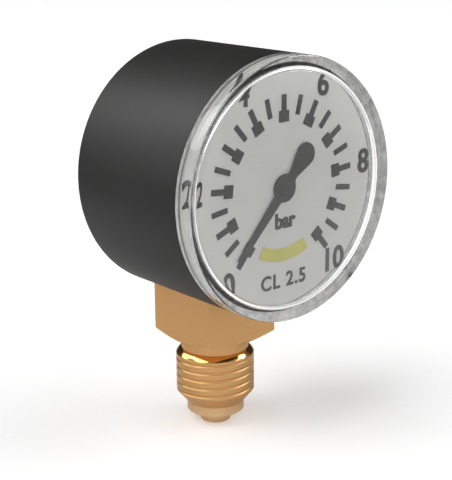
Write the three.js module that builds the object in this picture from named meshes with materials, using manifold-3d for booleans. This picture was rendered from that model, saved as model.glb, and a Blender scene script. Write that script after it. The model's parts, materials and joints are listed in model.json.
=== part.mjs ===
import * as THREE from 'three';
import { mergeVertices } from 'three/addons/utils/BufferGeometryUtils.js';
import Module from 'manifold-3d';

// Bourdon tube pressure gauge, nominal size 40, with a bottom connection G 1/4 B. Millimetres.
// The origin is on the connection's axis, in its sealing face. +Z runs up that axis to the dial,
// and the dial faces -Y. Depths are given front (low Y) to back (high Y), and places in the plane
// of the dial as (x, z) from the dial's centre.

// ---- driving dimensions ----

// case
const case_diameter = 40.2;
const case_depth = 24.66;          // rim to back
const case_wall = 2.7;
const back_wall = 1.5;
const case_edge = 0.5;             // rounding of the back edge
const dial_height = 40.6;          // sealing face to dial centre
const block_gap = 0.16;            // around the connection's block where it enters the case

// window, a clear cup whose skirt snaps into a slot in the case's rim
const window_rise = 3.28;          // pane's front to the case's rim
const pane_thickness = 0.9;
const window_wall = 1.7;
const window_edge = 0.35;          // outer rounding
const window_fillet = 1.0;         // inner rounding
const skirt_thickness = 0.45;
const skirt_length = 3.0;
const snap_height = 0.2;
const snap_width = 0.6;
const dial_seat = 0.9;             // thickness of the case's ring that the dial rests on

// dial and pointer
const dial_thickness = 0.6;
const dial_proud = 0.28;           // dial face in front of the case's rim
const dial_hole_radius = 1.5;
const pointer_lift = 0.2;          // pointer's back in front of the dial face
const pointer_thickness = 0.2;
const pointer_length = 13.3;
const pointer_root_width = 1.65;
const pointer_tip_width = 0.85;
const pointer_hub_radius = 2.15;
const pointer_neck_width = 1.74;
const pointer_neck_place = 2.75;
const pointer_bulb_radius = 1.83;
const pointer_bulb_place = 6.25;
const pointer_rest = 227.5;        // degrees from +X towards +Z at rest
const bush_radius = 0.9;
const bush_cap_radius = 1.25;
const bush_cap_height = 0.25;

// connection, milled from square bar
const wrench_size = 14.0;
const block_bottom = 12.7;         // above the sealing face
const block_chamfer_radius = 6.0;
const block_chamfer_angle = 16;
const neck_radius = 5.55;
const thread_top = 10.04;
const thread_neck_rise = 0.98;     // from the thread's top to the neck
const thread_radius = 6.48;
const thread_pitch = 1.337;
const thread_depth = 0.15;
const thread_groove = 0.62;        // width of the groove at the crest
const thread_lead = 3.65;          // above the sealing face, where the full thread starts
const pilot_radius = 4.75;
const pilot_length = 1.55;
const spigot_radius = 2.5;
const spigot_length = 2.0;
const spigot_edge = 0.2;
const restrictor_radius = 1.3;
const restrictor_length = 3.0;
const restrictor_depth = 0.6;      // below the end of the spigot
const restrictor_orifice = 0.3;
const bore_radius = 1.0;

// measuring element
const tube_wall_gap = 2.9;         // tube to the case's inner wall
const tube_width = 5.0;            // along Y
const tube_thickness = 2.0;        // along the radius
const tube_sheet = 0.25;
const tube_front = -0.3;           // place of its front edge along Y
const tube_start = 260;            // degrees, in the connection
const tube_end = -10;              // degrees, at the tip
const end_piece_angle = 8;         // degrees beyond the tube's end
const end_piece_margin = 0.2;      // around the tube
const block_inside = 1.2;          // block's height inside the case
const tongue_width = 12.0;
const tongue_front = 3.0;          // in front of the connection's axis
const tongue_cover = 1.0;          // material inside and outside the tube's root

// movement
const gear_module = 0.2;
const pinion_teeth = 12;
const sector_teeth = 90;           // of the full circle
const sector_teeth_cut = 14;
const sector_direction = -60;      // degrees, from the pinion to the sector's pivot
const pressure_angle = 20;
const sector_addendum = 0.14;
const pinion_addendum = 0.2;
const tooth_bottom_gap = 0.06;
const backlash = 0.06;
const sector_thickness = 1.0;
const sector_hub_radius = 1.7;
const sector_web = 1.3;            // width of the sector's rim and spokes
const sector_shaft_radius = 0.6;
const tail_arm = 3.8;              // sector's pivot to the link's pin
const tail_rest = -18.32;          // degrees
const tail_half_width = 1.15;
const tail_slot = 0.9;             // half of the slot's travel
const plate_thickness = 1.0;
const plate_spacing = 4.0;
const plate_margin = 1.7;          // plate around the pillars
const pinion_boss_radius = 2.6;    // plate around the pinion's bearing
const sector_boss_radius = 2.2;    // plate around the sector's bearing
const pillar_radius = 1.1;
const pillar_rivet_radius = 0.7;
const left_pillar = [-4.2, -10.4];
const right_pillar = [6.4, -13.0];
const top_pillar = [-3.0, 3.2];
const arbor_radius = 0.45;
const pivot_radius = 0.3;
const pinion_face = 2.0;

// link
const link_tip = [10.4, -2.6];     // pin in the end piece, at rest
const link_thickness = 0.7;
const link_half_width = 0.9;
const link_pin_radius = 0.35;
const link_pin_head = 0.7;
const link_pin_head_height = 0.3;
const lug_pin_grip = 1.5;          // length of the pin in the end piece's lug
const lug_radius = 1.2;
const link_space = 0.2;            // along Y, between link and neighbours

// hairspring
const spring_inner = 0.95;
const spring_outer = 2.9;
const spring_turns = 4;
const spring_blade = 0.12;
const spring_width = 0.4;
const stud_radius = 0.4;
const stud_gap = 0.3;              // spring's outer turn to the stud
const stud_direction = 60;         // degrees
const spring_gap = 0.2;            // in front of the pinion's teeth

// screws
const case_screw_radius = 0.9;
const case_screw_head = 1.7;
const case_screw_head_height = 0.7;
const case_screw_length = 5.2;
const case_screw_place = 4.5;      // each side of the axis
const carrier_screw_radius = 0.9;
const carrier_screw_head = 1.5;
const carrier_screw_head_height = 0.9;
const carrier_screw_grip = 1.9;    // length in the connection's tongue
const carrier_screw_place = 2.7;
const carrier_margin = 0.3;        // plate around the screw's head
const pillar_screw_radius = 0.5;
const pillar_screw_head = 1.0;
const pillar_screw_head_height = 0.6;
const pillar_screw_grip = 1.8;

// fits
const fixed_gap = 0.1;             // between pieces that stay together
const rest_gap = 0.05;             // under a face that rests on another
const running_gap = 0.08;          // around what turns
const bottom_gap = 0.3;            // past the end of what sits in a blind hole

const round_segments = 60;
const stem_segments = 40;
const small_segments = 16;
const tube_segments = 30;

// ---- places worked out from them ----

const case_radius = case_diameter / 2;
const case_inner_radius = case_radius - case_wall;
const back_inner = wrench_size / 2 + block_gap;
const back_outer = back_inner + back_wall;
const rim = back_outer - case_depth;
const dial_face = rim - dial_proud;
const dial_back = dial_face + dial_thickness;
const seat_face = dial_back + rest_gap;
const window_front = rim - window_rise;
const window_inner_radius = case_radius - window_wall;
const skirt_radius = window_inner_radius + skirt_thickness;
const dial_radius = window_inner_radius - fixed_gap;
const slot_inner_radius = window_inner_radius - fixed_gap;
const slot_bottom = rim + skirt_length + fixed_gap;
const seat_inner_radius = slot_inner_radius - dial_seat;
const seat_bottom = slot_bottom + dial_seat;

const tube_radius = case_inner_radius - tube_wall_gap - tube_thickness / 2;
const tube_middle = tube_front + tube_width / 2;
const tongue_half = tongue_width / 2;
const tongue_top = -(tube_radius - tube_thickness / 2 - tongue_cover - fixed_gap);
const block_top = -(case_inner_radius - block_inside);
const tongue_edge = 270 - Math.asin(tongue_half / (tube_radius - tube_thickness / 2)) * 180 / Math.PI;

const back_plate_back = -tongue_front - rest_gap;
const back_plate_front = back_plate_back - plate_thickness;
const front_plate_back = back_plate_front - plate_spacing;
const front_plate_front = front_plate_back - plate_thickness;
const sector_front = (back_plate_front + front_plate_back) / 2 - sector_thickness / 2;
const sector_back = sector_front + sector_thickness;
const link_front = sector_back + link_space;
const link_back = link_front + link_thickness;
const lug_front = link_back + link_space;

const pinion_radius = gear_module * pinion_teeth / 2;
const sector_radius = gear_module * sector_teeth / 2;
const sector_pivot = polar(pinion_radius + sector_radius, sector_direction);
const tail_pin = offset(sector_pivot, tail_arm, tail_rest);

const pointer_back = dial_face - pointer_lift;
const pointer_front = pointer_back - pointer_thickness;
const case_screw_height = -(case_inner_radius - case_screw_head - fixed_gap);
const carrier_screw_height = -(tube_radius + 0.5);

// ---- helpers ----

const wasm = await Module();
wasm.setup();

function radians(degrees) {
  return degrees * Math.PI / 180;
}

function polar(radius, degrees) {
  return [radius * Math.cos(radians(degrees)), radius * Math.sin(radians(degrees))];
}

function offset(point, radius, degrees) {
  const step = polar(radius, degrees);
  return [point[0] + step[0], point[1] + step[1]];
}

// A closed geometry as a solid: positions only, shared corners merged, empty triangles dropped,
// and turned right side out.
function solid(geometry) {
  const bare = new THREE.BufferGeometry();
  bare.setAttribute('position', geometry.getAttribute('position').clone());
  if (geometry.index) {
    bare.setIndex(geometry.index.clone());
  }
  const merged = mergeVertices(bare, 1e-4);
  const place = merged.getAttribute('position').array;
  const corner = merged.index.array;
  const triangles = [];
  let volume = 0;
  for (let t = 0; t < corner.length; t += 3) {
    const [a, b, c] = [corner[t], corner[t + 1], corner[t + 2]];
    if (a === b || b === c || c === a) {
      continue;
    }
    triangles.push(a, b, c);
    const [p, q, r] = [a, b, c].map((i) => new THREE.Vector3().fromArray(place, 3 * i));
    volume += p.dot(q.cross(r));
  }
  if (volume < 0) {
    triangles.reverse();
  }
  return new wasm.Manifold(new wasm.Mesh({
    numProp: 3,
    vertProperties: new Float32Array(place),
    triVerts: new Uint32Array(triangles),
  }));
}

function joined(...parts) {
  return parts.reduce((whole, part) => whole.add(part));
}

function cut(whole, ...tools) {
  return tools.reduce((rest, tool) => rest.subtract(tool), whole);
}

// A flat outline in the plane of the dial, as a plate between two depths.
function plate(shape, front, back, curveSegments = 12) {
  const geometry = new THREE.ExtrudeGeometry(shape, {
    depth: back - front, bevelEnabled: false, curveSegments,
  });
  geometry.rotateX(Math.PI / 2);
  geometry.translate(0, back, 0);
  return solid(geometry);
}

// A profile of [radius, y] turned about an axis along Y through (x, z).
function turned(profile, [x, z] = [0, 0], segments = small_segments) {
  const geometry = new THREE.LatheGeometry(profile.map(([r, y]) => new THREE.Vector2(r, y)), segments);
  geometry.translate(x, 0, z);
  return solid(geometry);
}

// A profile of [radius, z] turned about the connection's axis.
function turnedUpright(profile, segments = stem_segments) {
  const geometry = new THREE.LatheGeometry(profile.map(([r, z]) => new THREE.Vector2(r, z)), segments);
  geometry.rotateX(Math.PI / 2);
  return solid(geometry);
}

function pin(radius, front, back, place = [0, 0], segments = small_segments) {
  return turned([[0, front], [radius, front], [radius, back], [0, back]], place, segments);
}

function block(low, high) {
  const size = high.map((value, i) => value - low[i]);
  const geometry = new THREE.BoxGeometry(...size);
  geometry.translate(...low.map((value, i) => value + size[i] / 2));
  return solid(geometry);
}

function disc(radius, place = [0, 0]) {
  const shape = new THREE.Shape();
  shape.absarc(place[0], place[1], radius, 0, 2 * Math.PI, false);
  return shape;
}

// The outline of a band pulled tight round discs of [x, z, radius].
function bandRound(discs) {
  const points = [];
  for (const [x, z, radius] of discs) {
    for (let i = 0; i < small_segments; i += 1) {
      const angle = 2 * Math.PI * i / small_segments;
      points.push([x + radius * Math.cos(angle), z + radius * Math.sin(angle)]);
    }
  }
  points.sort((a, b) => a[0] - b[0] || a[1] - b[1]);
  const turn = (a, b, c) => (b[0] - a[0]) * (c[1] - a[1]) - (b[1] - a[1]) * (c[0] - a[0]);
  const half = (list) => {
    const chain = [];
    for (const point of list) {
      while (chain.length > 1 && turn(chain.at(-2), chain.at(-1), point) <= 1e-9) {
        chain.pop();
      }
      chain.push(point);
    }
    chain.pop();
    return chain;
  };
  const outline = [...half(points), ...half([...points].reverse())];
  return new THREE.Shape(outline.map(([x, z]) => new THREE.Vector2(x, z)));
}

// Quarter-circle points [r, y] about a centre, from one angle to another.
function arc([r, y], radius, from, to, steps = 4) {
  return Array.from({ length: steps + 1 }, (unused, i) => {
    const [dr, dy] = polar(radius, from + (to - from) * i / steps);
    return [r + dr, y + dy];
  });
}

const gauge = new THREE.Group();
gauge.name = 'pressure_gauge';

// The dial's group carries everything that is placed from the dial's centre.
const dial_group = new THREE.Group();
dial_group.position.z = dial_height;
gauge.add(dial_group);

function add(name, body, finish, group = dial_group) {
  const { vertProperties, triVerts } = body.getMesh();
  const geometry = new THREE.BufferGeometry();
  geometry.setAttribute('position', new THREE.BufferAttribute(new Float32Array(vertProperties), 3));
  geometry.setIndex(new THREE.BufferAttribute(new Uint32Array(triVerts), 1));
  geometry.computeVertexNormals();
  const mesh = new THREE.Mesh(geometry, finish());
  mesh.name = name;
  group.add(mesh);
  return mesh;
}

function finish(color, roughness, metalness, extra = {}) {
  return () => new THREE.MeshStandardMaterial({ color, roughness, metalness, ...extra });
}

const black_plastic = finish(0x2e2d2b, 0.5, 0);
const clear_plastic = finish(0xf4f6f6, 0.05, 0, { transparent: true, opacity: 0.25 });
const dial_enamel = finish(0xb0b1ab, 0.45, 0.1);
const pointer_paint = finish(0x4b4a48, 0.5, 0);
const turned_brass = finish(0xba8f5f, 0.35, 1);
const plate_brass = finish(0xc9a468, 0.3, 1);
const spring_bronze = finish(0xb98a58, 0.3, 1);
const bright_steel = finish(0xb8babc, 0.3, 1);

// ---- case ----

// Screws come in from the back, through the wall and into the connection's block.
function caseScrewHole(side) {
  const place = [side * case_screw_place, case_screw_height];
  return joined(
    pin(case_screw_radius + fixed_gap, back_inner - 1, back_outer + 1, place),
    pin(case_screw_head + fixed_gap, back_outer - case_screw_head_height - fixed_gap, back_outer + 1, place),
  );
}

function makeCase() {
  const snap_place = slot_bottom - fixed_gap - 2 * snap_width;
  const slot_radius = skirt_radius + fixed_gap;
  const shell = turned([
    [0, back_inner],
    [case_inner_radius, back_inner],
    [case_inner_radius, seat_bottom],
    [seat_inner_radius, seat_bottom],
    [seat_inner_radius, seat_face],
    [slot_inner_radius, seat_face],
    [slot_inner_radius, slot_bottom],
    [slot_radius, slot_bottom],
    [slot_radius, snap_place + snap_width],
    [slot_radius + snap_height, snap_place + snap_width / 2],
    [slot_radius + snap_height, snap_place - snap_width / 2],
    [slot_radius, snap_place - snap_width],
    [slot_radius, rim],
    [case_radius, rim],
    ...arc([case_radius - case_edge, back_outer - case_edge], case_edge, 0, 90),
    [0, back_outer],
  ], [0, 0], round_segments);
  const half = wrench_size / 2 + block_gap;
  const corner = -Math.sqrt(case_inner_radius ** 2 - half ** 2);
  const block_hole = block([-half, -half, -case_radius - 1], [half, half, corner + 1]);
  return cut(shell, block_hole, caseScrewHole(-1), caseScrewHole(1));
}

add('case', makeCase(), black_plastic);

// ---- window ----

function makeWindow() {
  const pane_back = window_front + pane_thickness;
  const skirt_end = rim + skirt_length;
  const snap_place = skirt_end - 2 * snap_width;
  return turned([
    [0, window_front],
    ...arc([case_radius - window_edge, window_front + window_edge], window_edge, -90, 0),
    [case_radius, rim - rest_gap],
    [skirt_radius, rim - rest_gap],
    [skirt_radius, snap_place - snap_width / 2],
    [skirt_radius + snap_height, snap_place],
    [skirt_radius, snap_place + snap_width / 2],
    [skirt_radius, skirt_end],
    [window_inner_radius, skirt_end],
    ...arc([window_inner_radius - window_fillet, pane_back + window_fillet], window_fillet, 0, -90),
    [0, pane_back],
  ], [0, 0], round_segments);
}

add('window', makeWindow(), clear_plastic);

// ---- dial ----

function makeDial() {
  const profile = [
    [dial_hole_radius, dial_face],
    [dial_radius, dial_face],
    [dial_radius, dial_back],
    [dial_hole_radius, dial_back],
    [dial_hole_radius, dial_face],
  ];
  return turned(profile, [0, 0], round_segments);
}

add('dial', makeDial(), dial_enamel);

// ---- pointer ----

// The needle lies along +X, with its counterweight behind the hub, and is turned to its rest.
function makeNeedle() {
  const needle = new THREE.Shape([
    new THREE.Vector2(0, -pointer_root_width / 2),
    new THREE.Vector2(pointer_length, -pointer_tip_width / 2),
    new THREE.Vector2(pointer_length, pointer_tip_width / 2),
    new THREE.Vector2(0, pointer_root_width / 2),
  ]);
  const half_neck = pointer_neck_width / 2;
  const tail = new THREE.Shape();
  tail.moveTo(0, -pointer_hub_radius * 0.95);
  tail.lineTo(0, pointer_hub_radius * 0.95);
  tail.quadraticCurveTo(-pointer_neck_place * 0.6, half_neck, -pointer_neck_place, half_neck);
  tail.quadraticCurveTo(-pointer_neck_place * 1.4, half_neck, -pointer_bulb_place, pointer_bulb_radius * 0.95);
  tail.lineTo(-pointer_bulb_place, -pointer_bulb_radius * 0.95);
  tail.quadraticCurveTo(-pointer_neck_place * 1.4, -half_neck, -pointer_neck_place, -half_neck);
  tail.quadraticCurveTo(-pointer_neck_place * 0.6, -half_neck, 0, -pointer_hub_radius * 0.95);
  const sheet = [needle, tail, disc(pointer_hub_radius), disc(pointer_bulb_radius, [-pointer_bulb_place, 0])];
  const flat = joined(...sheet.map((shape) => plate(shape, pointer_front, pointer_back, 10)));
  return cut(flat, pin(bush_radius + fixed_gap, pointer_front - 1, pointer_back + 1));
}

const needle = add('pointer_needle', makeNeedle(), pointer_paint);
needle.rotation.y = -radians(pointer_rest);

// The bush is pressed on the arbor's front end and covers it with its cap.
const bush_back = dial_face - rest_gap;
const bush_front = pointer_front - bush_cap_height;
const arbor_front = bush_front + bush_cap_height;
add('pointer_bush', turned([
  [0, bush_front],
  [bush_cap_radius - 0.15, bush_front],
  [bush_cap_radius, bush_front + 0.15],
  [bush_cap_radius, pointer_front - rest_gap],
  [bush_radius, pointer_front - rest_gap],
  [bush_radius, bush_back],
  [arbor_radius + running_gap, bush_back],
  [arbor_radius + running_gap, arbor_front - fixed_gap],
  [0, arbor_front - fixed_gap],
]), pointer_paint);

// ---- gears ----

function involute(angle) {
  return Math.tan(angle) - angle;
}

// Half of a tooth's angle, in degrees, at a radius on its flank. Below the base circle the
// flank is radial.
function halfTooth(radius, pitch_radius) {
  const base = pitch_radius * Math.cos(radians(pressure_angle));
  const tooth = (Math.PI * gear_module - backlash) / 2;
  const at_pitch = tooth / (2 * pitch_radius) + involute(radians(pressure_angle));
  const flank = radius > base ? involute(Math.acos(base / radius)) : 0;
  return (at_pitch - flank) * 180 / Math.PI;
}

// Corners of one tooth, in order of rising angle.
function toothPoints(centre, pitch_radius, root, tip) {
  const flank_steps = 3;
  const radii = Array.from({ length: flank_steps + 1 }, (unused, i) => root + (tip - root) * i / flank_steps);
  const rising = radii.map((radius) => polar(radius, centre - halfTooth(radius, pitch_radius)));
  const falling = [...radii].reverse().map((radius) => polar(radius, centre + halfTooth(radius, pitch_radius)));
  return [...rising, ...falling];
}

function outline(points) {
  return new THREE.Shape(points.map(([x, z]) => new THREE.Vector2(x, z)));
}

// ---- pinion arbor ----

// A tooth points at the sector's pivot at rest.
function makeArbor() {
  const root = pinion_radius - sector_addendum - tooth_bottom_gap;
  const tip = pinion_radius + pinion_addendum;
  const points = [];
  for (let tooth = 0; tooth < pinion_teeth; tooth += 1) {
    points.push(...toothPoints(sector_direction + 360 * tooth / pinion_teeth, pinion_radius, root, tip));
  }
  const middle = (sector_front + sector_back) / 2;
  const pinion = plate(outline(points), middle - pinion_face / 2, middle + pinion_face / 2);
  const shaft = turned([
    [0, arbor_front],
    [arbor_radius, arbor_front],
    [arbor_radius, back_plate_front - running_gap],
    [pivot_radius, back_plate_front - running_gap],
    [pivot_radius, back_plate_back],
    [0, back_plate_back],
  ]);
  return joined(pinion, shaft);
}

add('pinion_arbor', makeArbor(), bright_steel);

// ---- sector gear ----

// Toothed rim, two spokes and a slotted tail for the link. A gap between teeth faces the pinion
// at rest.
function makeSector() {
  const root = sector_radius - pinion_addendum - tooth_bottom_gap;
  const tip = sector_radius + sector_addendum;
  const pitch = 360 / sector_teeth;
  const facing = sector_direction + 180;
  const last = facing + 1.5 * pitch;
  const first = last - (sector_teeth_cut - 1) * pitch;
  const points = [];
  for (let tooth = 0; tooth < sector_teeth_cut; tooth += 1) {
    points.push(...toothPoints(first + tooth * pitch, sector_radius, root, tip));
  }
  const rim_inner = root - sector_web;
  const ends = [last + pitch / 2, first - pitch / 2];
  const fan = outline([...points, polar(root, ends[0]), polar(sector_web, ends[0] + 90),
    polar(sector_web, ends[1] - 90), polar(root, ends[1])]);
  const spoke_angle = 9;
  const inner = sector_hub_radius + 1.4;
  const opening = new THREE.Path();
  opening.absarc(0, 0, rim_inner, radians(ends[1] + spoke_angle), radians(ends[0] - spoke_angle), false);
  opening.lineTo(...polar(inner, (ends[0] + ends[1]) / 2));
  opening.closePath();
  fan.holes.push(opening);
  const slot_ends = [-tail_slot, tail_slot].map((shift) => polar(tail_arm + shift, tail_rest));
  const tail = bandRound([[0, 0, tail_half_width], ...slot_ends.map(([x, z]) => [x, z, tail_half_width])]);
  const slot_half = link_pin_radius + 2 * running_gap;
  const slot = bandRound(slot_ends.map(([x, z]) => [x, z, slot_half]));
  const body = joined(
    plate(fan, sector_front, sector_back),
    plate(disc(sector_hub_radius), sector_front, sector_back),
    plate(tail, sector_front, sector_back),
  );
  const gear = cut(
    body,
    plate(slot, sector_front - 1, sector_back + 1),
    pin(sector_shaft_radius + fixed_gap, sector_front - 1, sector_back + 1),
  );
  return gear.translate([sector_pivot[0], 0, sector_pivot[1]]);
}

add('sector_gear', makeSector(), plate_brass);

add('sector_shaft', turned([
  [0, front_plate_front + rest_gap],
  [pivot_radius, front_plate_front + rest_gap],
  [pivot_radius, front_plate_back + running_gap],
  [sector_shaft_radius, front_plate_back + running_gap],
  [sector_shaft_radius, back_plate_front - running_gap],
  [pivot_radius, back_plate_front - running_gap],
  [pivot_radius, back_plate_back - rest_gap],
  [0, back_plate_back - rest_gap],
], sector_pivot), bright_steel);

// ---- movement plates, pillars and their screws ----

const pillars = { left: left_pillar, right: right_pillar, top: top_pillar };
const pillar_discs = Object.values(pillars).map(([x, z]) => [x, z, plate_margin]);
const bearing_discs = [[0, 0, pinion_boss_radius], [...sector_pivot, sector_boss_radius]];
const carrier_discs = [-1, 1].map((side) => [side * carrier_screw_place, carrier_screw_height, carrier_screw_head + carrier_margin]);
const pillar_places = Object.values(pillars);

const stud_place = polar(spring_outer + stud_radius + stud_gap, stud_direction);

add('front_plate', cut(
  plate(bandRound([...pillar_discs, ...bearing_discs]), front_plate_front, front_plate_back),
  pin(arbor_radius + running_gap, front_plate_front - 1, front_plate_back + 1),
  pin(pivot_radius + running_gap, front_plate_front - 1, front_plate_back + 1, sector_pivot),
  pin(stud_radius + fixed_gap, front_plate_front - 1, front_plate_back + 1, stud_place),
  ...pillar_places.map((place) => pin(pillar_screw_radius + fixed_gap, front_plate_front - 1, front_plate_back + 1, place)),
), plate_brass);

add('back_plate', cut(
  plate(bandRound([...pillar_discs, ...bearing_discs, ...carrier_discs]), back_plate_front, back_plate_back),
  pin(pivot_radius + running_gap, back_plate_front - 1, back_plate_back + 1),
  pin(pivot_radius + running_gap, back_plate_front - 1, back_plate_back + 1, sector_pivot),
  ...pillar_places.map((place) => pin(pillar_rivet_radius + fixed_gap, back_plate_front - 1, back_plate_back + 1, place)),
  ...carrier_discs.map(([x, z]) => pin(carrier_screw_radius + fixed_gap, back_plate_front - 1, back_plate_back + 1, [x, z])),
), plate_brass);

// Each pillar is riveted into the back plate and tapped for a screw in front.
function makePillar(place) {
  const front = front_plate_back + rest_gap;
  const bore = pillar_screw_radius + fixed_gap;
  return turned([
    [bore, front],
    [pillar_radius, front],
    [pillar_radius, back_plate_front - rest_gap],
    [pillar_rivet_radius, back_plate_front - rest_gap],
    [pillar_rivet_radius, back_plate_back - rest_gap],
    [0, back_plate_back - rest_gap],
    [0, front + pillar_screw_grip + bottom_gap],
    [bore, front + pillar_screw_grip + bottom_gap],
    [bore, front],
  ], place);
}

// A slotted screw whose head rests at y = 0 with its shank along +Y.
function slottedScrew(head_radius, head_height, radius, length) {
  const edge = head_height * 0.3;
  const body = turned([
    [0, -head_height],
    [head_radius - edge, -head_height],
    [head_radius, -head_height + edge],
    [head_radius, 0],
    [radius, 0],
    [radius, length - 0.2],
    [radius - 0.2, length],
    [0, length],
  ]);
  const half_slot = head_radius * 0.14;
  const slot_depth = head_height * 0.5;
  const slot = block([-2 * head_radius, -2 * head_height, -half_slot], [2 * head_radius, -head_height + slot_depth, half_slot]);
  return cut(body, slot);
}

for (const [side, place] of Object.entries(pillars)) {
  add(`pillar_${side}`, makePillar(place), plate_brass);
  const screw = slottedScrew(pillar_screw_head, pillar_screw_head_height, pillar_screw_radius, plate_thickness + pillar_screw_grip);
  add(`pillar_screw_${side}`, screw.translate([place[0], front_plate_front - rest_gap, place[1]]), bright_steel);
}

for (const [side, [x, z]] of Object.entries({ left: carrier_discs[0], right: carrier_discs[1] })) {
  const screw = slottedScrew(carrier_screw_head, carrier_screw_head_height, carrier_screw_radius, plate_thickness + carrier_screw_grip);
  add(`carrier_screw_${side}`, screw.translate([x, back_plate_front - rest_gap, z]), bright_steel);
}

// ---- hairspring ----

const spring_front = (sector_front + sector_back - pinion_face) / 2 - spring_gap - spring_width;

// A flat blade wound from the collet out to the stud.
function makeHairspring() {
  const steps = spring_turns * 20;
  const side = (shift) => Array.from({ length: steps + 1 }, (unused, i) => {
    const radius = spring_inner + (spring_outer - spring_inner) * i / steps + shift;
    return polar(radius, stud_direction + 360 * spring_turns * i / steps);
  });
  return plate(outline([...side(spring_blade / 2), ...side(-spring_blade / 2).reverse()]), spring_front, spring_front + spring_width);
}

add('hairspring', makeHairspring(), spring_bronze);

add('hairspring_collet', turned([
  [arbor_radius + rest_gap, spring_front],
  [spring_inner - spring_blade / 2 - rest_gap, spring_front],
  [spring_inner - spring_blade / 2 - rest_gap, spring_front + spring_width],
  [arbor_radius + rest_gap, spring_front + spring_width],
  [arbor_radius + rest_gap, spring_front],
]), plate_brass);

add('hairspring_stud', pin(stud_radius, front_plate_front + rest_gap, spring_front + spring_width, stud_place), plate_brass);

// ---- link and its pins ----

add('link', cut(
  plate(bandRound([[...link_tip, link_half_width], [...tail_pin, link_half_width]]), link_front, link_back),
  pin(link_pin_radius + running_gap, link_front - 1, link_back + 1, link_tip),
  pin(link_pin_radius + fixed_gap / 2, link_front - 1, link_back + 1, tail_pin),
), plate_brass);

function headedPin(head_back, back, place) {
  return turned([
    [0, head_back - link_pin_head_height],
    [link_pin_head, head_back - link_pin_head_height],
    [link_pin_head, head_back],
    [link_pin_radius, head_back],
    [link_pin_radius, back],
    [0, back],
  ], place);
}

const lug_pin_back = lug_front + lug_pin_grip;
add('tip_link_pin', headedPin(link_front - running_gap, lug_pin_back, link_tip), bright_steel);
add('sector_link_pin', headedPin(sector_front - running_gap, link_back, tail_pin), bright_steel);

// ---- Bourdon tube and its end piece ----

// A flattened section, from its root in the connection round to the tip.
class TubeArc extends THREE.Curve {
  constructor(from, to) {
    super();
    this.from = from;
    this.to = to;
  }

  getPoint(t, target = new THREE.Vector3()) {
    const [x, z] = polar(tube_radius, this.from + (this.to - this.from) * t);
    return target.set(x, tube_middle, z);
  }
}

function ovalPath(path, margin) {
  const radius = tube_thickness / 2 + margin;
  const straight = tube_width / 2 - tube_thickness / 2;
  path.absarc(straight, 0, radius, -Math.PI / 2, Math.PI / 2, false);
  path.absarc(-straight, 0, radius, Math.PI / 2, 1.5 * Math.PI, false);
  path.closePath();
  return path;
}

function sweptOval(from, to, margin, steps, hollow = false) {
  const shape = ovalPath(new THREE.Shape(), margin);
  if (hollow) {
    shape.holes.push(ovalPath(new THREE.Path(), -tube_sheet));
  }
  const geometry = new THREE.ExtrudeGeometry(shape, {
    steps, bevelEnabled: false, curveSegments: 3, extrudePath: new TubeArc(from, to),
  });
  return solid(geometry);
}

add('bourdon_tube', sweptOval(tube_start, tube_end, 0, tube_segments, true), spring_bronze);

// The end piece closes the tube with a plug and a collar behind its end, and carries a lug
// forward and inward for the link's pin.
function makeEndPiece() {
  const start = tube_end - 0.5;
  const plug = sweptOval(tube_end + 12, start - 1, -tube_sheet - fixed_gap, 4);
  const collar = sweptOval(start, start - end_piece_angle, end_piece_margin, 3);
  const root = polar(tube_radius - 0.2, start - end_piece_angle / 2);
  const lug = plate(
    bandRound([[...link_tip, lug_radius], [...root, 0.8]]),
    lug_front,
    tube_middle,
  );
  const pin_hole = pin(link_pin_radius + fixed_gap / 2, lug_front - 1, lug_pin_back + 0.1, link_tip);
  const beyond = cut(lug, sweptOval(tube_end + 30, tube_end, fixed_gap, 6));
  return cut(joined(plug, collar, beyond), pin_hole);
}

add('tube_end_piece', makeEndPiece(), turned_brass);

// ---- connection ----

// A right-hand screw: lands at the crest with a V groove between them, long enough to be
// trimmed at both ends.
function screwSolid(low, high) {
  const stations = [
    [0, thread_radius],
    [thread_pitch - thread_groove, thread_radius],
    [thread_pitch - thread_groove / 2, thread_radius - thread_depth],
  ];
  const around = stem_segments;
  const turns = Math.ceil((high - low) / thread_pitch) + 1;
  const last = turns * around;
  const place = [];
  const number = new Map();
  const vertex = (step, station) => {
    const key = station === stations.length ? `${step + around},0` : `${step},${station}`;
    if (!number.has(key)) {
      const [k, j] = key.split(',').map(Number);
      const angle = 2 * Math.PI * k / around;
      const [rise, radius] = stations[j];
      number.set(key, place.length / 3);
      place.push(radius * Math.cos(angle), radius * Math.sin(angle), low - thread_pitch + thread_pitch * k / around + rise);
    }
    return number.get(key);
  };
  const faces = [];
  for (let k = 0; k < last; k += 1) {
    for (let j = 0; j < stations.length; j += 1) {
      const [a, b, c, d] = [vertex(k, j), vertex(k + 1, j), vertex(k + 1, j + 1), vertex(k, j + 1)];
      faces.push(a, b, c, a, c, d);
    }
  }
  const closeEnd = (step, z, flip) => {
    const loop = [];
    for (let k = 0; k <= around; k += 1) {
      loop.push(vertex(step + k, 0));
    }
    loop.push(vertex(step, 2), vertex(step, 1));
    const apex = place.length / 3;
    place.push(0, 0, z);
    loop.forEach((corner, i) => {
      const next = loop[(i + 1) % loop.length];
      faces.push(...(flip ? [apex, corner, next] : [apex, next, corner]));
    });
  };
  closeEnd(0, low - 2 * thread_pitch, false);
  closeEnd(last, high + 3 * thread_pitch, true);
  const geometry = new THREE.BufferGeometry();
  geometry.setAttribute('position', new THREE.BufferAttribute(new Float32Array(place), 3));
  geometry.setIndex(faces);
  return solid(geometry);
}

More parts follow.
